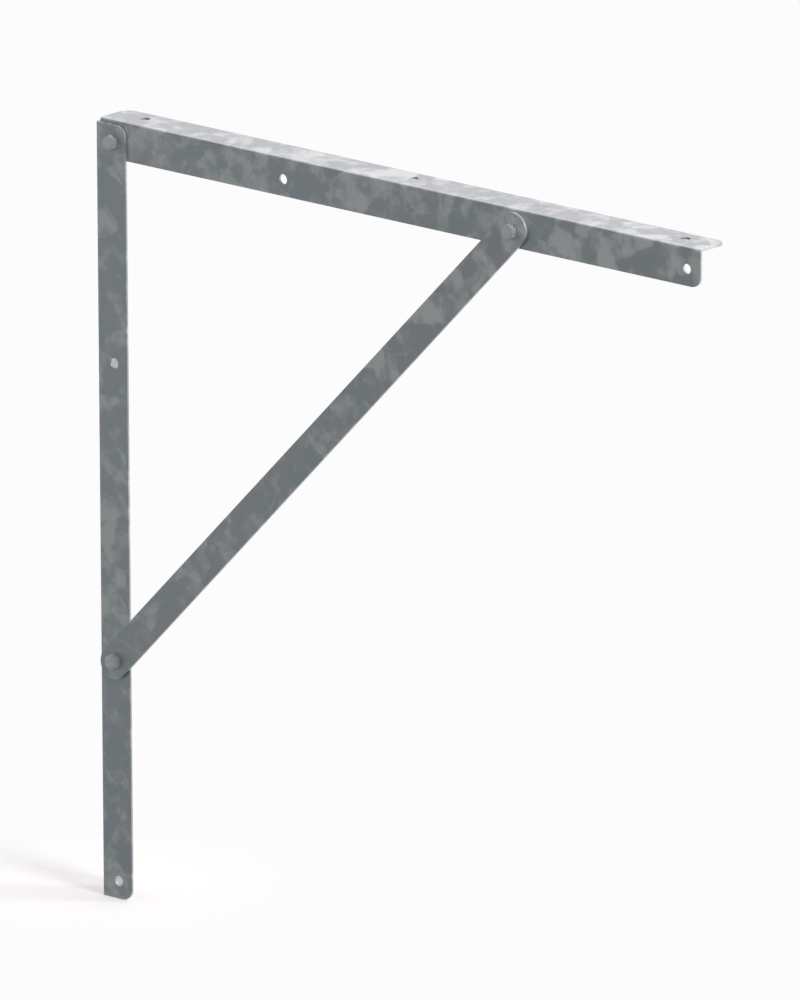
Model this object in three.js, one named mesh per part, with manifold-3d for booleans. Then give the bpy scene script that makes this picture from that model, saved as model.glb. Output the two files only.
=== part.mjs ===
// Roof bracket: two angle members and a flat diagonal brace, held by three hexagon bolts.
// Units are millimetres and +Z is up. The bracket stands against a wall.
// X runs out from the wall face, Y across the bracket and Z up. The origin is on the
// wall face, half way across the wall flange and level with the corner bolt.

import * as THREE from 'three';
import { mergeVertices } from 'three/addons/utils/BufferGeometryUtils.js';
import Module from 'manifold-3d';

const wasm = await Module();
wasm.setup();

// ---- driving dimensions ----

const memberLength = 700;         // both angle members are cut to the same length
const legWidth = 35;              // outside width of each flange
const sheet = 2;                  // thickness of the angles
const insideBend = 0.5;           // inside radius of the fold
const gap = 0.3;                  // play between faces that touch
const boltEdge = 19.8;            // from the heel of an angle to its row of bolt holes
const boltEnd = 16;               // from the end of a member to its first hole
const middleHole = 215;           // from the corner end to the free hole in the middle
const braceHole = 484;            // from the corner end to the brace bolt
const holeDiameter = 9;           // clearance for M8
const fixingHoleEnd = 35;         // from the end of a member to its outer fixing holes
const flangeCorner = 11;          // corner radius at the free edges of the flanges
const armPivotCorner = 15;        // rounder, so that the arm's corner clears the post as it folds
const braceWidth = 30;
const braceThickness = 3;
const braceEnd = 17.5;            // from a brace bolt to the end of the brace

const shankDiameter = 8;          // M8
const headAcrossFlats = 13;
const headHeight = 5.3;
const nutHeight = 6.5;
const washerDiameter = 16;
const washerThickness = 1.6;
const washerBore = 8.6;
const washerEdge = 0.2;           // chamfer of a washer's outer edges
const nutBore = 8.6;
const threadBeyondNut = 3;
const pointChamfer = 0.8;         // of the end of a shank
const chamferAngle = Math.PI / 6; // of the corners of heads and nuts
const flatInset = 0.2;            // from a head's flats to the round face inside its chamfer

const arcSteps = 10;              // facets in a quarter turn of a corner
const holeSides = 32;

// ---- places worked out from the dimensions ----

const midFlange = legWidth / 2;
const cornerX = boltEdge;
const cornerZ = 0;
const postTop = cornerZ + boltEnd;
const armStart = cornerX - boltEnd;
const armTop = cornerZ + boltEdge;
const frontY = -midFlange;                    // front face of the post
const armY = frontY + sheet + gap;            // front face of the arm
const braceBack = frontY - gap;               // back face of the brace at the lower bolt
const braceUpperBack = armY - gap;            // and at the upper bolt
const lowerZ = postTop - braceHole;
const upperX = armStart + braceHole;

// ---- materials ----

const galvanised = (colour, roughness) =>
  new THREE.MeshStandardMaterial({ color: colour, roughness, metalness: 0.7 });

const sheetZinc = galvanised(0x8e979a, 0.5);
const boltZinc = galvanised(0xa4a6aa, 0.42);

// ---- solids ----

// A closed geometry becomes a solid once its faces share their vertices.
function solidOf(geometry) {
  const bare = geometry.index ? geometry.toNonIndexed() : geometry;
  bare.deleteAttribute('normal');
  bare.deleteAttribute('uv');
  const merged = mergeVertices(bare, 1e-4);
  return new wasm.Manifold(new wasm.Mesh({
    numProp: 3,
    vertProperties: new Float32Array(merged.attributes.position.array),
    triVerts: new Uint32Array(merged.index.array),
  }));
}

function geometryOf(solid) {
  const mesh = solid.getMesh();
  const geometry = new THREE.BufferGeometry();
  geometry.setAttribute('position', new THREE.BufferAttribute(mesh.vertProperties, 3));
  geometry.setIndex(new THREE.BufferAttribute(mesh.triVerts, 1));
  geometry.computeVertexNormals();
  return geometry;
}

function piece(name, geometry, material) {
  const mesh = new THREE.Mesh(geometry, material);
  mesh.name = name;
  return mesh;
}

function extrude(outline, depth) {
  return new THREE.ExtrudeGeometry(outline, {
    depth, bevelEnabled: false, curveSegments: arcSteps,
  });
}

// ---- angle members ----

// An angle lies along +Z. Its heel is the corner at x = 0, y = 0, one flange runs
// along +X and the other along +Y. The heel is a fold with an arc inside and outside.
function angleSection() {
  const outsideBend = sheet + insideBend;
  const foldCentre = outsideBend;
  const section = new THREE.Shape();
  section.moveTo(foldCentre, 0);
  section.lineTo(legWidth, 0);
  section.lineTo(legWidth, sheet);
  section.lineTo(foldCentre, sheet);
  section.absarc(foldCentre, foldCentre, insideBend, -Math.PI / 2, Math.PI, true);
  section.lineTo(sheet, legWidth);
  section.lineTo(0, legWidth);
  section.lineTo(0, foldCentre);
  section.absarc(foldCentre, foldCentre, outsideBend, Math.PI, 1.5 * Math.PI, false);
  return section;
}

// Outline of one flange, seen square on: the fold is the edge at x = 0, and the free
// edge has a round corner at each end. The near end is y = 0.
function flangeOutline(nearRadius) {
  const far = memberLength - flangeCorner;
  const outline = new THREE.Shape();
  outline.moveTo(-gap, 0);
  outline.lineTo(legWidth - nearRadius, 0);
  outline.absarc(legWidth - nearRadius, nearRadius, nearRadius, -Math.PI / 2, 0, false);
  outline.lineTo(legWidth, far);
  outline.absarc(legWidth - flangeCorner, far, flangeCorner, 0, Math.PI / 2, false);
  outline.lineTo(-gap, memberLength);
  return outline;
}

// The outline becomes a prism that crosses the whole angle. Its x goes along the
// flange and its y along the member.
function trim(outline, flangeAxis, acrossAxis) {
  const prism = extrude(outline, 2 * legWidth);
  prism.translate(0, 0, -legWidth);
  const alongMember = new THREE.Vector3(0, 0, 1);
  prism.applyMatrix4(new THREE.Matrix4().makeBasis(flangeAxis, alongMember, acrossAxis));
  return solidOf(prism);
}

function drill(diameter, length) {
  return new THREE.CylinderGeometry(diameter / 2, diameter / 2, length, holeSides);
}

// Holes through the flange along +X, in its bolt row, at these distances along Z.
function boltHoles(distances) {
  return distances.map((along) => {
    const hole = drill(holeDiameter, 4 * sheet);
    hole.translate(boltEdge, sheet / 2, along);
    return solidOf(hole);
  });
}

// Holes through the flange along +Y, for the fixings into the wall or the roof.
function fixingHoles(distances) {
  return distances.map((along) => {
    const hole = drill(holeDiameter, 4 * sheet);
    hole.rotateZ(Math.PI / 2);
    hole.translate(sheet / 2, boltEdge, along);
    return solidOf(hole);
  });
}

// The near end is the one with the corner bolt, and boltCorner is the radius there.
function angleMember(boltCorner) {
  let body = solidOf(extrude(angleSection(), memberLength));
  const [x, y] = [new THREE.Vector3(1, 0, 0), new THREE.Vector3(0, 1, 0)];
  body = body.intersect(trim(flangeOutline(boltCorner), x, y.clone().negate()));
  body = body.intersect(trim(flangeOutline(flangeCorner), y, x));
  const bolted = [boltEnd, middleHole, braceHole, memberLength - boltEnd];
  const fixings = [fixingHoleEnd, memberLength / 2, memberLength - fixingHoleEnd];
  for (const hole of [...boltHoles(bolted), ...fixingHoles(fixings)]) {
    body = body.subtract(hole);
  }
  return geometryOf(body);
}

// The post stands with its near end up: it is the mirror image of the arm, with its
// bolted flange in front and the other flange on the wall.
function wallPost() {
  const geometry = mirrored(angleMember(flangeCorner));
  geometry.translate(0, frontY, postTop);
  return piece('wall_post', geometry, sheetZinc);
}

// Mirrored end for end along Z. Each face is wound the other way, so it still points out.
function mirrored(geometry) {
  geometry.scale(1, 1, -1);
  const corners = geometry.index.array;
  for (let first = 0; first < corners.length; first += 3) {
    [corners[first], corners[first + 1]] = [corners[first + 1], corners[first]];
  }
  return geometry;
}

// The arm lies with its near end at the wall. Its bolted flange hangs down behind the
// post's, and the other flange is on top.
function topArm() {
  const geometry = angleMember(armPivotCorner);
  const toArm = new THREE.Matrix4().set(
    0, 0, 1, armStart,
    0, 1, 0, armY,
    -1, 0, 0, armTop,
    0, 0, 0, 1,
  );
  geometry.applyMatrix4(toArm);
  return piece('top_arm', geometry, sheetZinc);
}

// ---- brace ----

// A flat bar with round ends. Its two bolt centres lie at equal distances from the
// corner bolt, so that it stands at 45 degrees. It lies on the post's front face at one
// end and on the arm's at the other, so it slants back by the thickness of the post.
function diagonalBrace() {
  const lower = new THREE.Vector3(cornerX, braceBack, lowerZ);
  const upper = new THREE.Vector3(upperX, braceUpperBack, cornerZ);
  const span = lower.distanceTo(upper);
  const along = upper.clone().sub(lower).normalize();
  const across = new THREE.Vector3(-along.z, 0, along.x).normalize();
  const forward = along.clone().cross(across);
  const radius = braceWidth / 2;
  const tip = braceEnd - radius;
  const outline = new THREE.Shape();
  outline.moveTo(-tip, -radius);
  outline.lineTo(span + tip, -radius);
  outline.absarc(span + tip, 0, radius, -Math.PI / 2, Math.PI / 2, false);
  outline.lineTo(-tip, radius);
  outline.absarc(-tip, 0, radius, Math.PI / 2, 1.5 * Math.PI, false);
  for (const along of [0, span]) {
    const hole = new THREE.Path();
    hole.absarc(along, 0, holeDiameter / 2, 0, 2 * Math.PI, true);
    outline.holes.push(hole);
  }
  const geometry = extrude(outline, braceThickness);
  geometry.applyMatrix4(new THREE.Matrix4().makeBasis(along, across, forward));
  geometry.translate(...lower);
  return piece('diagonal_brace', geometry, sheetZinc);
}

// ---- fasteners ----

// Fasteners are made along +Y, front to back, and start at y = 0.
function hexagonPrism(height) {
  const across = headAcrossFlats / Math.cos(Math.PI / 6);
  const prism = new THREE.CylinderGeometry(across / 2, across / 2, height, 6);
  prism.translate(0, height / 2, 0);
  return solidOf(prism);
}

// The corners of the hexagon are turned off by a cone at each chamfered face.
function cornerTurning(height, frontChamfer, backChamfer) {
  const flat = headAcrossFlats / 2 - flatInset;
  const outer = headAcrossFlats;
  const slope = (outer - flat) * Math.tan(chamferAngle);
  const profile = [];
  profile.push(new THREE.Vector2(0, 0));
  profile.push(new THREE.Vector2(frontChamfer ? flat : outer, 0));
  if (frontChamfer) profile.push(new THREE.Vector2(outer, slope));
  if (backChamfer) profile.push(new THREE.Vector2(outer, height - slope));
  profile.push(new THREE.Vector2(backChamfer ? flat : outer, height));
  profile.push(new THREE.Vector2(0, height));
  return solidOf(new THREE.LatheGeometry(profile, holeSides));
}

function ring(outerDiameter, boreDiameter, height) {
  const inner = boreDiameter / 2;
  const outer = outerDiameter / 2;
  const profile = [
    new THREE.Vector2(inner, 0),
    new THREE.Vector2(outer - washerEdge, 0),
    new THREE.Vector2(outer, washerEdge),
    new THREE.Vector2(outer, height - washerEdge),
    new THREE.Vector2(outer - washerEdge, height),
    new THREE.Vector2(inner, height),
    new THREE.Vector2(inner, 0),
  ];
  return geometryOf(solidOf(new THREE.LatheGeometry(profile, holeSides)));
}

// Hexagon head and shank. The grip is the length from under the head to the nut.
function boltGeometry(grip) {
  const head = hexagonPrism(headHeight).intersect(cornerTurning(headHeight, true, false));
  const end = headHeight + grip + nutHeight + threadBeyondNut;
  const start = headHeight / 2;                // inside the head, so that the two join
  const radius = shankDiameter / 2;
  const shankProfile = [
    new THREE.Vector2(0, start),
    new THREE.Vector2(radius, start),
    new THREE.Vector2(radius, end - pointChamfer),
    new THREE.Vector2(radius - pointChamfer, end),
    new THREE.Vector2(0, end),
  ];
  const shank = solidOf(new THREE.LatheGeometry(shankProfile, holeSides));
  return geometryOf(head.add(shank));
}

function nutGeometry() {
  const blank = hexagonPrism(nutHeight).intersect(cornerTurning(nutHeight, true, true));
  const bore = drill(nutBore, 2 * nutHeight);
  bore.translate(0, nutHeight / 2, 0);
  return geometryOf(blank.subtract(solidOf(bore)));
}

// One bolt through everything it clamps, from the front face y = clampFront to the
// back face y = clampBack, with its washer and nut behind.
function fastenerSet(name, x, z, clampFront, clampBack) {
  const washerY = clampBack + gap;
  const nutY = washerY + washerThickness + gap;
  const headBack = clampFront - gap;
  const bolt = piece(`${name}_bolt`, boltGeometry(nutY - headBack), boltZinc);
  bolt.position.set(x, headBack - headHeight, z);
  const washer = piece(
    `${name}_washer`, ring(washerDiameter, washerBore, washerThickness), boltZinc);
  washer.position.set(x, washerY, z);
  const nut = piece(`${name}_nut`, nutGeometry(), boltZinc);
  nut.position.set(x, nutY, z);
  return [bolt, washer, nut];
}

// ---- assembly ----

const bracket = new THREE.Group();
bracket.add(wallPost(), topArm(), diagonalBrace());
bracket.add(...fastenerSet('corner', cornerX, cornerZ, frontY, armY + sheet));
bracket.add(...fastenerSet('lower', cornerX, lowerZ, braceBack - braceThickness, frontY + sheet));
bracket.add(...fastenerSet('upper', upperX, cornerZ, braceUpperBack - braceThickness, armY + sheet));

export default bracket;
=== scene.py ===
import math

import bmesh
import bpy
import numpy as np
from mathutils import Matrix, Vector


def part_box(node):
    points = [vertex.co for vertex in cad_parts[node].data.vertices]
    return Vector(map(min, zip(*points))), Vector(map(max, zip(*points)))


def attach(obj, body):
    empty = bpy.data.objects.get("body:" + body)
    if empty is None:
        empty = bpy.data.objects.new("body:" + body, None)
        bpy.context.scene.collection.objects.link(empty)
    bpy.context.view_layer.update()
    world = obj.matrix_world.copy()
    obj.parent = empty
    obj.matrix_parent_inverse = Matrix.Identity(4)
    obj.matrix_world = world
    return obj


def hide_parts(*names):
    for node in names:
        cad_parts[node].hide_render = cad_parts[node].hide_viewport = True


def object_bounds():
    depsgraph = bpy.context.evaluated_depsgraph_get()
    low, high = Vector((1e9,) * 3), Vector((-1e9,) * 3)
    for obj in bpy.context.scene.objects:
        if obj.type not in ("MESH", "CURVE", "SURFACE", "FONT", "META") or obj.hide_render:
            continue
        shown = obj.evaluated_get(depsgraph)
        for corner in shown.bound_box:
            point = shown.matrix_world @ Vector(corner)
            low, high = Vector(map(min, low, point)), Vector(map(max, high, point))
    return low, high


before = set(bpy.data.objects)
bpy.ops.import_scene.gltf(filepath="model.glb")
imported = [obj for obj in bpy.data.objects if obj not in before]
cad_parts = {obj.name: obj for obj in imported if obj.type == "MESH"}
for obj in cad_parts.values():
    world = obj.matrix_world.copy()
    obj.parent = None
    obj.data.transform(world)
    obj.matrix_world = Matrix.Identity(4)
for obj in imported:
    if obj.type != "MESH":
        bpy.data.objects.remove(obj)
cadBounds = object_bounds()
print("frame loaded")
mm = 0.001

postLow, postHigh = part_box("wall_post")
armLow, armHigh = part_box("top_arm")


def boltAxis(node):
    # the centre line of a bolt runs along Y through the middle of its box
    low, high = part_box(node)
    return np.array([(low.x + high.x) / 2, (low.z + high.z) / 2])


lowerBolt = boltAxis("lower_bolt")
upperBolt = boltAxis("upper_bolt")


def gridQuads(rows, columns, closeRows=False, closeColumns=False):
    # each cell of a rows x columns grid of points as one quad, wrapping round if closed
    index = np.arange(rows * columns).reshape(rows, columns)
    if closeRows:
        index = np.vstack([index, index[:1]])
    if closeColumns:
        index = np.hstack([index, index[:, :1]])
    corners = index[:-1, :-1], index[1:, :-1], index[1:, 1:], index[:-1, 1:]
    return np.stack(corners, axis=-1).reshape(-1, 4)


def joined(patches):
    # several (points, quads) patches as one, each patch's quads counted on from the last
    counts = np.cumsum([0] + [len(points) for points, quads in patches])
    points = np.vstack([points for points, quads in patches])
    quads = np.vstack([quads + start for (_, quads), start in zip(patches, counts)])
    return points, quads


def buildMesh(name, points, quads, weld=1e-6):
    # quads that closed onto a pole lose their doubled corner in the weld
    mesh = bpy.data.meshes.new(name)
    mesh.from_pydata(points.tolist(), [], quads.tolist())
    work = bmesh.new()
    work.from_mesh(mesh)
    bmesh.ops.remove_doubles(work, verts=work.verts, dist=weld)
    bmesh.ops.recalc_face_normals(work, faces=work.faces)
    work.to_mesh(mesh)
    work.free()
    mesh.polygons.foreach_set("use_smooth", np.ones(len(mesh.polygons), bool))
    mesh.update()
    piece = bpy.data.objects.new(name, mesh)
    bpy.context.scene.collection.objects.link(piece)
    return piece


def roundEdges(piece, width, steps, angle):
    # every edge that turns by more than the angle, in degrees, is rounded
    bevel = piece.modifiers.new("roundEdges", "BEVEL")
    bevel.width = width
    bevel.segments = steps
    bevel.limit_method = "ANGLE"
    bevel.angle_limit = math.radians(angle)
    bevel.harden_normals = True


def evenPath(corners, steps):
    # the polyline through the corners, cut into steps of equal length
    corners = np.asarray(corners, float)
    lengths = np.linalg.norm(np.diff(corners, axis=0), axis=1)
    along = np.concatenate([[0], np.cumsum(lengths)])
    wanted = np.linspace(0, along[-1], steps + 1)
    return np.stack([np.interp(wanted, along, corners[:, axis]) for axis in (0, 1)], axis=1)


def arcPoints(centre, radius, start, stop, steps=48):
    # centre + radius * (cos, sin) of the bearing, which runs from start to stop in degrees
    turn = np.radians(np.linspace(start, stop, steps + 1))
    return np.asarray(centre) + radius * np.stack([np.cos(turn), np.sin(turn)], axis=1)


def patchBetween(bottom, top, left, right):
    # a Coons patch: the surface ruled from bottom to top, plus the one ruled from left
    # to right, less the bilinear surface of the four corners
    s = np.linspace(0, 1, len(bottom))[:, None, None]
    t = np.linspace(0, 1, len(left))[None, :, None]
    upward = (1 - t) * bottom[:, None] + t * top[:, None]
    across = (1 - s) * left[None] + s * right[None]
    nearEdge = (1 - s) * bottom[0] + s * bottom[-1]
    farEdge = (1 - s) * top[0] + s * top[-1]
    return upward + across - (1 - t) * nearEdge - t * farEdge


def plainCell(bottom, top, left, right):
    # the patch between four edges, as rows of points and their quads
    grid = patchBetween(bottom, top, left, right)
    rows, columns = grid.shape[:2]
    return grid.reshape(-1, 2), gridQuads(rows, columns)


# a cell with a hole: how many rings lie round the hole, and how much they crowd to its rim
holeRings = dict(count=6, crowding=1.4)


def holedCell(bottom, top, left, right, centre, radius):
    # rings of points that change from the round hole to the cell's edge: each point
    # moves in a straight line from the rim to the edge point on the same bearing
    edge = np.vstack([bottom[:-1], right[:-1], top[::-1][:-1], left[::-1][:-1]])
    bearing = edge - centre
    rim = centre + radius * bearing / np.linalg.norm(bearing, axis=1, keepdims=True)
    t = np.linspace(0, 1, holeRings["count"] + 1)[:, None, None] ** holeRings["crowding"]
    grid = rim[None] + t * (edge - rim)[None]
    return grid.reshape(-1, 2), gridQuads(holeRings["count"] + 1, len(edge), closeColumns=True)


# an angle is a strip of sheet with punched holes and round corners, folded lengthwise
angleSheet = dict(
    leg=postHigh.x - postLow.x,
    length=postHigh.z - postLow.z,
    thickness=2 * mm,
    foldRadius=1.5 * mm,       # of the middle of the sheet
    boltRow=19.8 * mm,         # from the heel to the holes
    boltedHoles=[16 * mm, 215 * mm, 484 * mm, 684 * mm],
    fixingHoles=[35 * mm, 350 * mm, 665 * mm],
    holeRadius=4.5 * mm,
    corner=11 * mm,
    pivotCorner=15 * mm,       # of the arm's hidden corner, which turns past the wall flange
    edgeRadius=0.35 * mm,
    acrossSteps=26,
    foldSteps=8,
    alongStep=6 * mm,          # length of a face in a stretch without holes
    fewestSteps=4,
    cellReach=10 * mm,         # from a hole to the end of its cell
    shortStretch=3,            # in reaches: below it, a stretch is as fine as a hole's cell
)


def straight(start, stop, steps):
    # the line from start to stop, in equal steps
    return evenPath([start, stop], steps)


def flangeCells(sizes, holes, breaks, nearCorner):
    # the flat flange, u from the fold and v along the member, as one cell for each
    # stretch between breaks
    width = sizes["leg"] - sizes["thickness"] / 2 - sizes["foldRadius"]
    boltU = sizes["boltRow"] - sizes["thickness"] / 2 - sizes["foldRadius"]
    length = sizes["length"]
    across = sizes["acrossSteps"]
    cells = []
    for start, stop in zip(breaks[:-1], breaks[1:]):
        here = [hole for hole in holes if start < hole < stop]
        along = stretchSteps(start, stop, sizes)
        bottom = straight((0, start), (width, start), across)
        top = straight((0, stop), (width, stop), across)
        left = straight((0, start), (0, stop), along)
        right = straight((width, start), (width, stop), along)
        if start == 0:
            bottom, right = roundCorner(width, nearCorner, stop, across, along)
        if stop == length:
            cut, side = roundCorner(width, sizes["corner"], stop - start, across, along)
            top = np.array([0, length]) + cut * [1, -1]
            right = (np.array([0, length]) + side * [1, -1])[::-1]
        edges = (bottom, top, left, right)
        if here:
            cells.append(holedCell(*edges, np.array([boltU, here[0]]), sizes["holeRadius"]))
        else:
            cells.append(plainCell(*edges))
    return cells


def roundCorner(width, radius, height, across, along):
    # the two edges of a cell whose outer corner is an arc, each taking half of it
    centre = (width - radius, radius)
    bottom = np.vstack([[0, 0], arcPoints(centre, radius, -90, -45)])
    side = np.vstack([arcPoints(centre, radius, -45, 0), [width, height]])
    return evenPath(bottom, across), evenPath(side, along)


def stretchSteps(start, stop, sizes):
    # cells about a hole are as fine along the member as across it
    if stop - start < sizes["shortStretch"] * sizes["cellReach"]:
        return sizes["acrossSteps"]
    return max(sizes["fewestSteps"], round((stop - start) / sizes["alongStep"]))


def foldedAngle(sizes, nearCorner):
    # points (x, y, z): x along the bolted flange from the heel, y along the fixing
    # flange, z along the member from the end with the corner bolt
    length, reach = sizes["length"], sizes["cellReach"]
    # marks are rounded to a thousandth of a millimetre, so that equal ones are one
    marks = {0, length}
    for hole in sizes["boltedHoles"] + sizes["fixingHoles"]:
        marks |= {round(hole - reach, 6), round(hole + reach, 6)}
    breaks = sorted(mark for mark in marks if reach <= mark <= length - reach or mark in (0, length))
    bolted = joined(flangeCells(sizes, sizes["boltedHoles"], breaks, nearCorner))
    fixing = joined(flangeCells(sizes, sizes["fixingHoles"], breaks, sizes["corner"]))

    half, radius = sizes["thickness"] / 2, sizes["foldRadius"]
    foldEdge = half + radius
    u, v = bolted[0].T
    boltedPoints = np.stack([foldEdge + u, np.full_like(u, half), v], axis=1)
    u, v = fixing[0].T
    fixingPoints = np.stack([np.full_like(u, half), foldEdge + u, v], axis=1)

    # the fold is a quarter turn about a line at equal distances from both flanges
    rows = [straight((0, a), (0, b), stretchSteps(a, b, sizes))[:-1, 1]
            for a, b in zip(breaks[:-1], breaks[1:])]
    along = np.append(np.concatenate(rows), length)[:, None]
    turn = np.linspace(0, math.pi / 2, sizes["foldSteps"] + 1)[None, :]
    x = foldEdge - radius * np.sin(turn) + 0 * along
    y = foldEdge - radius * np.cos(turn) + 0 * along
    fold = np.stack([x, y, along + 0 * turn], axis=-1)
    foldPatch = fold.reshape(-1, 3), gridQuads(*fold.shape[:2])
    return joined([(boltedPoints, bolted[1]), (fixingPoints, fixing[1]), foldPatch])


# how the cut edges of sheet and bar are rounded
sheetEdge = dict(steps=3, angle=35)


def sheetPiece(name, points, quads, sizes):
    # the middle of the sheet gets its thickness to both sides, then its edges rounded
    piece = buildMesh(name, points, quads)
    solid = piece.modifiers.new("sheetThickness", "SOLIDIFY")
    solid.thickness = sizes["thickness"]
    solid.offset = 0
    solid.use_even_offset = True
    roundEdges(piece, sizes["edgeRadius"], **sheetEdge)
    return piece


def wallPost():
    # the member stands with its near end up and its bolted flange in front
    points, quads = foldedAngle(angleSheet, angleSheet["corner"])
    x, y, z = points.T
    placed = np.stack([postLow.x + x, postLow.y + y, postHigh.z - z], axis=1)
    return sheetPiece("postAngle", placed, quads, angleSheet)


def topArm():
    # the member lies with its near end at the wall and its bolted flange hanging down
    points, quads = foldedAngle(angleSheet, angleSheet["pivotCorner"])
    x, y, z = points.T
    placed = np.stack([armLow.x + z, armLow.y + y, armHigh.z - x], axis=1)
    return sheetPiece("armAngle", placed, quads, angleSheet)


# a flat bar that lies on the post's front at one end and on the arm's at the other
flatBar = dict(
    width=30 * mm,
    boltEnd=17.5 * mm,
    thickness=3 * mm,
    play=0.3 * mm,             # between the bar and what it lies on
    holeRadius=4.5 * mm,
    edgeRadius=0.4 * mm,
    steps=34,
    alongStep=6 * mm,
    endCell=34 * mm,           # from the tip to the end of the cell about the hole
)


def braceEnd(sizes):
    # one round end with its hole: u across the bar, v from the tip
    radius = sizes["width"] / 2
    centre = (0, radius)
    steps, stop = sizes["steps"], sizes["endCell"]
    bottom = evenPath(arcPoints(centre, radius, -135, -45), steps)
    right = evenPath(np.vstack([arcPoints(centre, radius, -45, 0), [radius, stop]]), steps)
    left = right * [-1, 1]
    top = straight((-radius, stop), (radius, stop), steps)
    return holedCell(bottom, top, left, right, np.array([0, sizes["boltEnd"]]), sizes["holeRadius"])


def braceBar():
    # u across the bar and v along it, laid on the line between the two bolts
    standOff = flatBar["play"] + flatBar["thickness"] / 2
    lower = np.array([lowerBolt[0], postLow.y - standOff, lowerBolt[1]])
    upper = np.array([upperBolt[0], armLow.y - standOff, upperBolt[1]])
    span = np.linalg.norm(upper - lower)
    along = (upper - lower) / span
    across = np.array([-along[2], 0, along[0]])

    length = span + 2 * flatBar["boltEnd"]
    radius, stop, steps = flatBar["width"] / 2, flatBar["endCell"], flatBar["steps"]
    near = braceEnd(flatBar)
    far = np.array([0, length]) + near[0] * [1, -1], near[1]
    middleSteps = round((length - 2 * stop) / flatBar["alongStep"])
    edge = straight((-radius, stop), (-radius, length - stop), middleSteps)
    middle = plainCell(
        straight((-radius, stop), (radius, stop), steps),
        straight((-radius, length - stop), (radius, length - stop), steps),
        edge, edge * [-1, 1])
    flat, quads = joined([near, middle, far])
    u, v = flat.T
    placed = lower + np.outer(v - flatBar["boltEnd"], along) + np.outer(u, across)
    return sheetPiece("braceBar", placed, quads, flatBar)


fastener = dict(
    acrossFlats=13 * mm,
    headHeight=5.3 * mm,
    crest=6.35 * mm,           # radius of the flat round face inside the chamfer
    faceRing=0.5,              # one more ring on the head's flat face, at this share of the crest
    chamfer=math.radians(30),
    cornerSharpness=110,
    shank=4 * mm,
    threadRoot=3.4 * mm,
    pitch=1.25 * mm,
    flankSlope=2.5,            # the thread's full height is climbed in 1/2.5 of a pitch
    runOut=2,                  # pitches over which the thread fades in
    threadLength=14 * mm,
    pointLength=0.9 * mm,
    boreRadius=4.04 * mm,
    countersink=4.55 * mm,
    washerBore=4.3 * mm,
    washerEdge=0.28 * mm,
    washerEdgeSteps=5,
    edgeRadius=0.14 * mm,
    edgeSteps=2,
    boltEdgeAngle=40,
    nutEdgeAngle=25,
    turnSteps=120,
    rowsPerPitch=8,
)


def hexagonRadius(turn):
    # distance from the axis to a hexagon's side, with its corners a little rounded:
    # the half width over the p-norm of the bearings to the three pairs of sides
    sharp = fastener["cornerSharpness"]
    bearings = turn[None, :] - np.radians([30, 90, 150])[:, None]
    norm = (np.abs(np.cos(bearings)) ** sharp).sum(0) ** (1 / sharp)
    return fastener["acrossFlats"] / 2 / norm


def aroundAxis(radius, depth, turn, axis):
    # rings (radius, depth) about an axis along Y, bearing 0 straight up
    x = axis[0] + radius * np.sin(turn)
    z = axis[1] + radius * np.cos(turn)
    y = depth + 0 * turn
    return np.stack([x, y, z], axis=-1)


def fullTurn():
    # the bearings of one turn, without the last, which would repeat the first
    return np.linspace(0, 2 * math.pi, fastener["turnSteps"], endpoint=False)[None, :]


def revolve(name, radius, depth, axis, closeRows):
    # carries the profile (radius, depth) once round the axis
    turn = fullTurn()
    grid = aroundAxis(radius, depth, turn, axis)
    rows, columns = grid.shape[:2]
    quads = gridQuads(rows, columns, closeRows=closeRows, closeColumns=True)
    return buildMesh(name, grid.reshape(-1, 3), quads)


def threadRings(start, end, turn):
    # the thread is a wave in (depth / pitch - turn), so that it climbs one pitch a turn;
    # it fades in from the plain shank and tapers at the point
    shank, pitch, slope = fastener["shank"], fastener["pitch"], fastener["flankSlope"]
    rows = round(fastener["threadLength"] / pitch * fastener["rowsPerPitch"])
    depth = np.linspace(start, end, rows + 1)[1:, None]
    phase = (depth / pitch - turn / (2 * math.pi)) % 1
    wave = np.clip(slope / 2 - slope * np.abs(phase - 0.5), 0, 1)
    fadeIn = np.clip((depth - depth[0]) / (fastener["runOut"] * pitch), 0, 1)
    groove = (shank - fastener["threadRoot"]) * (1 - wave) * fadeIn
    taper = np.clip(depth - (end - fastener["pointLength"]), 0, None)
    return np.minimum(shank - groove, shank - taper), depth + 0 * turn


def hexBolt(name, node):
    # rings from the pole of the head, over the chamfer and down the sides, then along
    # the shank and its thread to the pole of the point
    low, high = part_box(node)
    turn = fullTurn()
    side = hexagonRadius(turn[0])[None, :]
    ones = np.ones_like(side)
    crest, shank = fastener["crest"], fastener["shank"]
    fall = (side - crest) * math.tan(fastener["chamfer"])
    headBack = low.y + fastener["headHeight"]
    threadStart = high.y - fastener["threadLength"]
    rings = [
        (0 * ones, low.y * ones),
        (fastener["faceRing"] * crest * ones, low.y * ones),
        (crest * ones, low.y * ones),
        (side, low.y + fall),
        (side, headBack * ones),
        (shank * ones, headBack * ones),
        (shank * ones, threadStart * ones),
        threadRings(threadStart, high.y, turn),
        (0 * ones, high.y * ones),
    ]
    radius = np.vstack([r for r, y in rings])
    depth = np.vstack([y for r, y in rings])
    piece = revolve(name, radius, depth, boltAxis(node), closeRows=False)
    roundEdges(piece, fastener["edgeRadius"], fastener["edgeSteps"], fastener["boltEdgeAngle"])
    return piece


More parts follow.
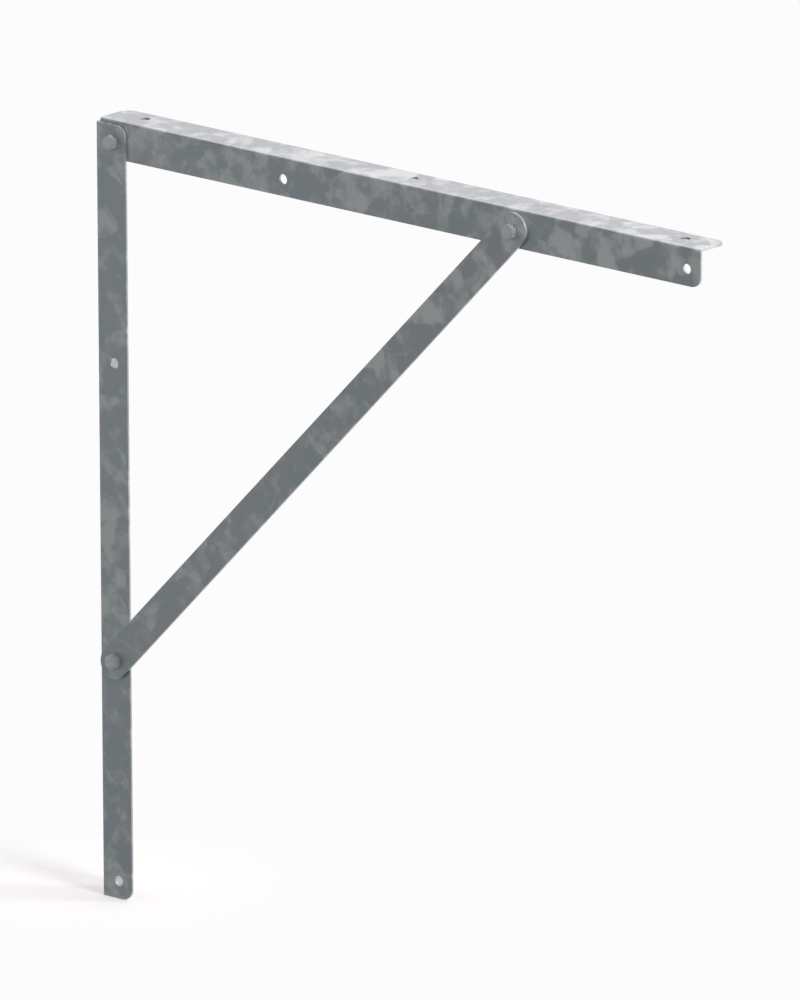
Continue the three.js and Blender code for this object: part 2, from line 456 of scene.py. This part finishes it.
def hexNut(name, node):
    # a closed ring of rings: up the bore, out over one face, down the sides and back
    low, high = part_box(node)
    turn = fullTurn()
    side = hexagonRadius(turn[0])[None, :]
    fall = (side - fastener["crest"]) * math.tan(fastener["chamfer"])
    ones = np.ones_like(side)
    bore, sink = fastener["boreRadius"], fastener["countersink"]
    lip = sink - bore
    rings = [
        (bore * ones, (low.y + lip) * ones),
        (sink * ones, low.y * ones),
        (fastener["crest"] * ones, low.y * ones),
        (side, low.y + fall),
        (side, high.y - fall),
        (fastener["crest"] * ones, high.y * ones),
        (sink * ones, high.y * ones),
        (bore * ones, (high.y - lip) * ones),
    ]
    radius = np.vstack([r for r, y in rings])
    depth = np.vstack([y for r, y in rings])
    piece = revolve(name, radius, depth, boltAxis(node), closeRows=True)
    roundEdges(piece, fastener["edgeRadius"], fastener["edgeSteps"], fastener["nutEdgeAngle"])
    return piece


def plainRing(name, node):
    # a washer: a rectangle with rounded corners, carried round the axis
    low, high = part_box(node)
    outer = (high.x - low.x) / 2
    inner, edge = fastener["washerBore"], fastener["washerEdge"]
    corners = [
        (outer - edge, high.y - edge, 90, 0), (outer - edge, low.y + edge, 0, -90),
        (inner + edge, low.y + edge, -90, -180), (inner + edge, high.y - edge, 180, 90),
    ]
    steps = fastener["washerEdgeSteps"]
    path = np.vstack([arcPoints((r, y), edge, start, stop, steps) for r, y, start, stop in corners])
    radius, depth = path[:, :1], path[:, 1:]
    return revolve(name, radius, depth, boltAxis(node), closeRows=True)


def nodeIn(tree, kind, settings=None, **inputs):
    # a node of this kind; inputs are values, or (node, output) pairs that are linked
    node = tree.nodes.new(kind)
    for name, value in (settings or {}).items():
        setattr(node, name, value)
    for name, value in inputs.items():
        socket = node.inputs[int(name[1:])] if name[1:].isdigit() else node.inputs[name]
        if isinstance(value, tuple) and isinstance(value[0], bpy.types.Node):
            tree.links.new(value[0].outputs[value[1]], socket)
        else:
            socket.default_value = value
    return node


def mathIn(tree, operation, first, second):
    # a Math node's result, as a (node, output) pair
    return nodeIn(tree, "ShaderNodeMath", dict(operation=operation), i0=first, i1=second), 0


def weighted(tree, *parts):
    # the sum of (value, weight) pairs
    total = mathIn(tree, "MULTIPLY", *parts[0])
    for value, weight in parts[1:]:
        total = mathIn(tree, "ADD", total, mathIn(tree, "MULTIPLY", value, weight))
    return total


def remap(tree, value, low, high, toLow=0.0, toHigh=1.0):
    # the value's way from low to high, eased at both ends, as the way from toLow to toHigh
    return nodeIn(tree, "ShaderNodeMapRange", dict(interpolation_type="SMOOTHSTEP"),
                  i0=value, i1=low, i2=high, i3=toLow, i4=toHigh), 0


def colourMix(tree, share, first, second):
    # a Mix node's colours are its sockets 6 and 7 and its output 2
    return nodeIn(tree, "ShaderNodeMix", dict(data_type="RGBA"), i0=share, i6=first, i7=second), 2


def newGroup(name, inputs, outputs):
    # a node group with named sockets, and the nodes inside it that give and take them
    tree = bpy.data.node_groups.new(name, "ShaderNodeTree")
    for label, kind, value in inputs:
        socket = tree.interface.new_socket(label, in_out="INPUT", socket_type=kind)
        if value is not None:
            socket.default_value = value
    for label, kind in outputs:
        tree.interface.new_socket(label, in_out="OUTPUT", socket_type=kind)
    return tree, nodeIn(tree, "NodeGroupInput"), nodeIn(tree, "NodeGroupOutput")


# sizes are lengths on the metal, scales are per metre, and weights are shares of the tone
crystalPattern = dict(
    bend=dict(size=30 * mm, amount=12 * mm),    # slow waves in the borders
    ragged=dict(size=6 * mm, amount=4 * mm),    # short waves on top of them
    large=dict(size=36 * mm, softness=0.12),
    medium=dict(size=19 * mm, softness=0.16),
    small=dict(size=9.5 * mm, softness=0.30),
    largeWeight=0.30,
    mediumWeight=0.26,
    smallWeight=0.12,
    cloud=dict(Scale=55.0, Detail=4.0, Roughness=0.6),
    cloudRange=(0.32, 0.68),
    cloudWeight=0.32,
    bloomSpacing=34 * mm,
    bloomReach=(0.07, 0.19),                    # in spacings: where a bloom starts to fade and ends
    bloomChance=(0.50, 0.90),
    veinWidth=0.035,                            # in sizes of a large crystal
    veinCloud=dict(Scale=30.0, Detail=1.0),
    veinChance=(0.54, 0.70),
)


def warpedPlace(tree, place, size, amount):
    # moves each place by a smooth random vector, so that straight borders wander
    noise = nodeIn(tree, "ShaderNodeTexNoise", Vector=place, Scale=1 / size, Detail=3.0)
    centred = nodeIn(tree, "ShaderNodeVectorMath", dict(operation="SUBTRACT"),
                     i0=(noise, "Color"), i1=(0.5, 0.5, 0.5))
    scaled = nodeIn(tree, "ShaderNodeVectorMath", dict(operation="SCALE"), i0=(centred, 0),
                    Scale=amount)
    return nodeIn(tree, "ShaderNodeVectorMath", dict(operation="ADD"), i0=place, i1=(scaled, 0)), 0


def crystalColour(tree, place, size, softness):
    # one random colour for each crystal, run together at the borders by softness
    cells = nodeIn(tree, "ShaderNodeTexVoronoi", dict(feature="SMOOTH_F1"), Vector=place,
                   Scale=1 / size, Smoothness=softness)
    return nodeIn(tree, "ShaderNodeSeparateColor", i0=(cells, "Color"))


def zincCrystalsGroup():
    # the mottled crystals of a hot-dip zinc coat: three sizes of soft-edged patches and
    # a slow cloud make the tone, a few pale blooms and faint veins lie over them
    tree, given, result = newGroup(
        "zincCrystals",
        [("Place", "NodeSocketVector", None)],
        [("Tone", "NodeSocketFloat"), ("Tint", "NodeSocketFloat"),
         ("Bloom", "NodeSocketFloat"), ("Vein", "NodeSocketFloat")])
    pattern = crystalPattern
    place = given, "Place"
    bent = warpedPlace(tree, place, **pattern["bend"])
    ragged = warpedPlace(tree, bent, **pattern["ragged"])

    large = crystalColour(tree, bent, **pattern["large"])
    medium = crystalColour(tree, ragged, **pattern["medium"])
    small = crystalColour(tree, ragged, **pattern["small"])
    cloud = nodeIn(tree, "ShaderNodeTexNoise", Vector=place, **pattern["cloud"])
    tone = weighted(
        tree,
        ((large, "Red"), pattern["largeWeight"]),
        ((medium, "Green"), pattern["mediumWeight"]),
        ((small, "Blue"), pattern["smallWeight"]),
        (remap(tree, (cloud, 0), *pattern["cloudRange"]), pattern["cloudWeight"]))

    dots = nodeIn(tree, "ShaderNodeTexVoronoi", dict(feature="F1"), Vector=ragged,
                  Scale=1 / pattern["bloomSpacing"])
    spot = remap(tree, (dots, "Distance"), *pattern["bloomReach"], 1.0, 0.0)
    chosen = nodeIn(tree, "ShaderNodeSeparateColor", i0=(dots, "Color"))
    bloom = mathIn(tree, "MULTIPLY", spot, remap(tree, (chosen, "Red"), *pattern["bloomChance"]))

    borders = nodeIn(tree, "ShaderNodeTexVoronoi", dict(feature="DISTANCE_TO_EDGE"),
                     Vector=bent, Scale=1 / pattern["large"]["size"])
    thin = remap(tree, (borders, "Distance"), 0.0, pattern["veinWidth"], 1.0, 0.0)
    chance = nodeIn(tree, "ShaderNodeTexNoise", Vector=place, **pattern["veinCloud"])
    vein = mathIn(tree, "MULTIPLY", thin, remap(tree, (chance, 0), *pattern["veinChance"]))

    found = dict(Tone=tone, Tint=(small, "Red"), Bloom=bloom, Vein=vein)
    for name, (node, output) in found.items():
        tree.links.new(node.outputs[output], result.inputs[name])
    return tree


skinRelief = dict(
    ripple=dict(Scale=160.0, Detail=2.0),
    rippleWeight=0.55,
    grainSize=1.2 * mm,
    grain=dict(Detail=3.0, Roughness=0.6),
    grainWeight=0.30,
    pimples=dict(Scale=230.0),
    pimpleReach=(0.05, 0.22),
    pimpleChance=(0.80, 0.92),
    pimpleWeight=0.15,
)


def zincSkinGroup():
    # the coat's own relief: a slow ripple, fine grain and scattered pimples
    tree, given, result = newGroup(
        "zincSkin",
        [("Place", "NodeSocketVector", None), ("Grain", "NodeSocketFloat", skinRelief["grainSize"])],
        [("Height", "NodeSocketFloat"), ("Speck", "NodeSocketFloat")])
    place = given, "Place"
    ripple = nodeIn(tree, "ShaderNodeTexNoise", Vector=place, **skinRelief["ripple"])
    size = mathIn(tree, "DIVIDE", 1.0, (given, "Grain"))
    grain = nodeIn(tree, "ShaderNodeTexNoise", Vector=place, Scale=size, **skinRelief["grain"])
    dots = nodeIn(tree, "ShaderNodeTexVoronoi", dict(feature="F1"), Vector=place,
                  **skinRelief["pimples"])
    dot = remap(tree, (dots, "Distance"), *skinRelief["pimpleReach"], 1.0, 0.0)
    chosen = nodeIn(tree, "ShaderNodeSeparateColor", i0=(dots, "Color"))
    speck = mathIn(tree, "MULTIPLY", dot, remap(tree, (chosen, "Red"), *skinRelief["pimpleChance"]))
    height = weighted(
        tree,
        ((ripple, 0), skinRelief["rippleWeight"]),
        ((grain, 0), skinRelief["grainWeight"]),
        (speck, skinRelief["pimpleWeight"]))
    tree.links.new(height[0].outputs[0], result.inputs["Height"])
    tree.links.new(speck[0].outputs[0], result.inputs["Speck"])
    return tree


zincCrystals = zincCrystalsGroup()
zincSkin = zincSkinGroup()

galvanised = dict(
    dark=(0.272, 0.324, 0.338),
    slate=(0.292, 0.318, 0.350),
    light=(0.505, 0.545, 0.550),
    pale=(0.66, 0.69, 0.69),
    toneRange=(0.34, 0.76),
    bloom=0.45,
    vein=0.22,
    metallic=0.70,
    roughness=(0.34, 0.64),
    film=1.0,                  # weight of the clear passivated film over the zinc
    filmRoughness=0.42,
    bump=0.12,
    bumpHeight=0.25 * mm,
)

boltZinc = dict(
    dark=(0.46, 0.49, 0.51),
    slate=(0.47, 0.495, 0.52),
    light=(0.58, 0.60, 0.61),
    pale=(0.68, 0.69, 0.70),
    toneRange=(0.30, 0.80),
    bloom=0.2,
    vein=0.0,
    metallic=0.76,
    roughness=(0.36, 0.48),
    film=0.2,
    filmRoughness=0.35,
    bump=0.10,
    bumpHeight=0.15 * mm,
)

# how every zinc finish follows its crystals
zincBlend = dict(
    tintRange=(0.35, 0.65),
    dullTone=(0.2, 0.9),       # tones at the ends of the roughness range
    speckRoughness=0.1,
)


def linearColour(rgb):
    # red, green and blue in linear light, and opaque
    return (*rgb, 1.0)


def zincMaterial(name, finish, shift, patchScale=1.0):
    # the tone runs from dark or slate to light, with blooms and veins of pale over it
    material = bpy.data.materials.new(name)
    material.use_nodes = True
    tree = material.node_tree
    tree.nodes.clear()
    where = nodeIn(tree, "ShaderNodeTexCoord")
    moved = nodeIn(tree, "ShaderNodeMapping", Vector=(where, "Object"), Location=shift,
                   Scale=(patchScale,) * 3)
    crystals = nodeIn(tree, "ShaderNodeGroup", dict(node_tree=zincCrystals), Place=(moved, 0))
    skin = nodeIn(tree, "ShaderNodeGroup", dict(node_tree=zincSkin), Place=(moved, 0))

    tint = remap(tree, (crystals, "Tint"), *zincBlend["tintRange"])
    low = colourMix(tree, tint, linearColour(finish["dark"]), linearColour(finish["slate"]))
    bright = remap(tree, (crystals, "Tone"), *finish["toneRange"])
    body = colourMix(tree, bright, low, linearColour(finish["light"]))
    bloom = mathIn(tree, "MULTIPLY", (crystals, "Bloom"), finish["bloom"])
    vein = mathIn(tree, "MULTIPLY", (crystals, "Vein"), finish["vein"])
    over = mathIn(tree, "MAXIMUM", bloom, vein)
    coat = colourMix(tree, over, body, linearColour(finish["pale"]))

    rough = remap(tree, (crystals, "Tone"), *zincBlend["dullTone"], *finish["roughness"])
    speck = mathIn(tree, "MULTIPLY", (skin, "Speck"), zincBlend["speckRoughness"])
    rough = mathIn(tree, "ADD", rough, speck)
    bump = nodeIn(tree, "ShaderNodeBump", Strength=finish["bump"], Distance=finish["bumpHeight"],
                  Height=(skin, "Height"))
    shader = nodeIn(tree, "ShaderNodeBsdfPrincipled", Metallic=finish["metallic"],
                    Roughness=rough, Normal=(bump, 0))
    shader.inputs["Coat Weight"].default_value = finish["film"]
    shader.inputs["Coat Roughness"].default_value = finish["filmRoughness"]
    tree.links.new(coat[0].outputs[coat[1]], shader.inputs["Base Color"])
    nodeIn(tree, "ShaderNodeOutputMaterial", i0=(shader, 0))
    return material


# where each material lies in the pattern, so that no two pieces show the same patches
patternShift = dict(
    post=(0.31, 0.12, 0.05),
    arm=(0.05, 0.42, 0.27),
    brace=(0.62, 0.08, 0.31),
    fasteners=(0.2, 0.3, 0.1),
)
fastenerPatchScale = 2.2       # the patches on bolts, nuts and washers are this much smaller


def finishPiece(piece, material, node, body):
    # the piece gets its material and its body, and the CAD node it stands for is hidden
    piece.data.materials.append(material)
    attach(piece, body)
    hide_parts(node)
    print("made", piece.name)


for made, node, body in ((wallPost(), "wall_post", "post"),
                         (topArm(), "top_arm", "arm"),
                         (braceBar(), "diagonal_brace", "brace")):
    finishPiece(made, zincMaterial(f"{body}Zinc", galvanised, patternShift[body]),
                node, body)

fastenerZinc = zincMaterial("fastenerZinc", boltZinc, patternShift["fasteners"], fastenerPatchScale)
for place, body in (("corner", "post"), ("lower", "post"), ("upper", "arm")):
    for make, kind, node in ((hexBolt, "HexBolt", f"{place}_bolt"),
                             (plainRing, "PlainWasher", f"{place}_washer"),
                             (hexNut, "HexNut", f"{place}_nut")):
        finishPiece(make(place + kind, node), fastenerZinc, node, body)


studio = dict(
    background=(0.974, 0.974, 0.974),    # what the camera sees behind everything
    backWall=(0.98, 0.925, 0.95),        # the white wall and floor behind, as the metal sees them
    frontRoom=(0.356, 0.356, 0.356),     # the dimmer room on the camera's side
    turnsFrom=-0.45,                     # how far round to the front the white wall reaches
    turnsTo=0.45,
    aim=Vector((0.3, 0, -0.3)),
)

softBoxes = dict(
    overhead=dict(towards=(-0.45, 0.09, 0.88), distance=3.2, size=3.2, power=33, tint=(1.0, 0.92, 0.97)),
    rightKey=dict(towards=(0.76, -0.11, 0.63), distance=2.8, size=0.8, power=62, tint=(1.0, 0.95, 0.90)),
    backKey=dict(towards=(0.52, 0.48, 0.70), distance=2.8, size=0.5, power=26, tint=(1.0, 0.97, 0.94)),
    rightWall=dict(towards=(0.74, 0.66, -0.12), distance=2.6, size=1.6, power=3, tint=(1.0, 0.82, 0.62)),
    leftFill=dict(towards=(-0.80, -0.56, -0.16), distance=3.0, size=1.3, power=1.8, tint=(1.0, 1.0, 1.0)),
)

# a thin clear plate beside the foot, pale in the middle so that the foot's shadow shows
footPlate = dict(
    shift=(-0.06, 0.0),        # from the middle of the foot
    radius=0.21,
    evenShare=0.15,            # of the radius, before the plate starts to clear
    paleShare=0.62,
    paleTone=0.765,
    rings=6,
    turnSteps=96,
)


def floorPlate():
    # rings of a flat disc at the level of the foot
    centre = np.array([(postLow.x + postHigh.x) / 2, (postLow.y + postHigh.y) / 2])
    centre = centre + footPlate["shift"]
    level = cadBounds[0][2]
    turn = np.linspace(0, 2 * math.pi, footPlate["turnSteps"], endpoint=False)[None, :]
    radius = np.linspace(0, footPlate["radius"], footPlate["rings"])[:, None]
    x = centre[0] + radius * np.cos(turn)
    y = centre[1] + radius * np.sin(turn)
    grid = np.stack([x, y, level + 0 * x], axis=-1)
    quads = gridQuads(footPlate["rings"], footPlate["turnSteps"], closeColumns=True)
    floor = buildMesh("floor", grid.reshape(-1, 3), quads)

    material = bpy.data.materials.new("floorPlate")
    material.use_nodes = True
    tree = material.node_tree
    tree.nodes.clear()
    where = nodeIn(tree, "ShaderNodeTexCoord")
    reach = nodeIn(tree, "ShaderNodeVectorMath", dict(operation="DISTANCE"),
                   i0=(where, "Object"), i1=(centre[0], centre[1], level))
    share = remap(tree, (reach, "Value"), footPlate["evenShare"] * footPlate["radius"],
                  footPlate["radius"], footPlate["paleShare"], 0.0)
    clear = nodeIn(tree, "ShaderNodeBsdfTransparent")
    pale = nodeIn(tree, "ShaderNodeBsdfDiffuse", i0=linearColour((footPlate["paleTone"],) * 3))
    both = nodeIn(tree, "ShaderNodeMixShader", i0=share, i1=(clear, 0), i2=(pale, 0))
    nodeIn(tree, "ShaderNodeOutputMaterial", i0=(both, 0))
    floor.data.materials.append(material)
    # the metal doesn't see the plate, so the foot isn't lit by it
    floor.visible_diffuse = False
    floor.visible_glossy = False


def paleRoom():
    # the camera sees an even, almost white room; the metal sees a white wall behind
    # that turns into a dimmer room in front
    world = bpy.data.worlds.new("paleRoom")
    bpy.context.scene.world = world
    world.use_nodes = True
    tree = world.node_tree
    tree.nodes.clear()
    where = nodeIn(tree, "ShaderNodeTexCoord")
    towards = nodeIn(tree, "ShaderNodeSeparateXYZ", i0=(where, "Generated"))
    turned = remap(tree, (towards, "Y"), studio["turnsFrom"], studio["turnsTo"])
    room = colourMix(tree, turned, linearColour(studio["frontRoom"]), linearColour(studio["backWall"]))
    path = nodeIn(tree, "ShaderNodeLightPath")
    seen = colourMix(tree, (path, "Is Camera Ray"), room, linearColour(studio["background"]))
    light = nodeIn(tree, "ShaderNodeBackground", i0=seen)
    nodeIn(tree, "ShaderNodeOutputWorld", i0=(light, 0))


def hangSoftBoxes():
    # each lamp faces the aim from its own direction and distance
    for name, box in softBoxes.items():
        lamp = bpy.data.lights.new(name, "AREA")
        lamp.size = box["size"]
        lamp.energy = box["power"]
        lamp.color = box["tint"]
        holder = bpy.data.objects.new(name, lamp)
        towards = Vector(box["towards"]).normalized()
        holder.location = studio["aim"] + towards * box["distance"]
        holder.rotation_euler = towards.to_track_quat("Z", "Y").to_euler()
        holder.visible_camera = False
        bpy.context.scene.collection.objects.link(holder)


view = dict(
    azimuth=math.radians(42.27),
    elevation=math.radians(15.10),
    roll=math.radians(0.41),
    distance=31.31,
    clipStart=1,
    lens=1300,
    aim=Vector((0.3401, -0.0008, -0.2696)),
)


def longLensCamera():
    # almost a parallel view: a very long lens from far away
    camera = bpy.data.cameras.new("longLens")
    camera.lens = view["lens"]
    camera.clip_start = view["clipStart"]
    camera.clip_end = 2 * view["distance"]
    holder = bpy.data.objects.new("longLens", camera)
    bpy.context.scene.collection.objects.link(holder)
    level = math.cos(view["elevation"])
    towards = Vector((level * math.sin(view["azimuth"]), -level * math.cos(view["azimuth"]),
                      math.sin(view["elevation"])))
    turn = towards.to_track_quat("Z", "Y").to_matrix() @ Matrix.Rotation(-view["roll"], 3, "Z")
    holder.matrix_world = (Matrix.Translation(view["aim"] + towards * view["distance"])
                           @ turn.to_4x4())
    bpy.context.scene.camera = holder


floorPlate()
paleRoom()
hangSoftBoxes()
longLensCamera()
bpy.context.scene.view_settings.view_transform = "Standard"
print("stage set")
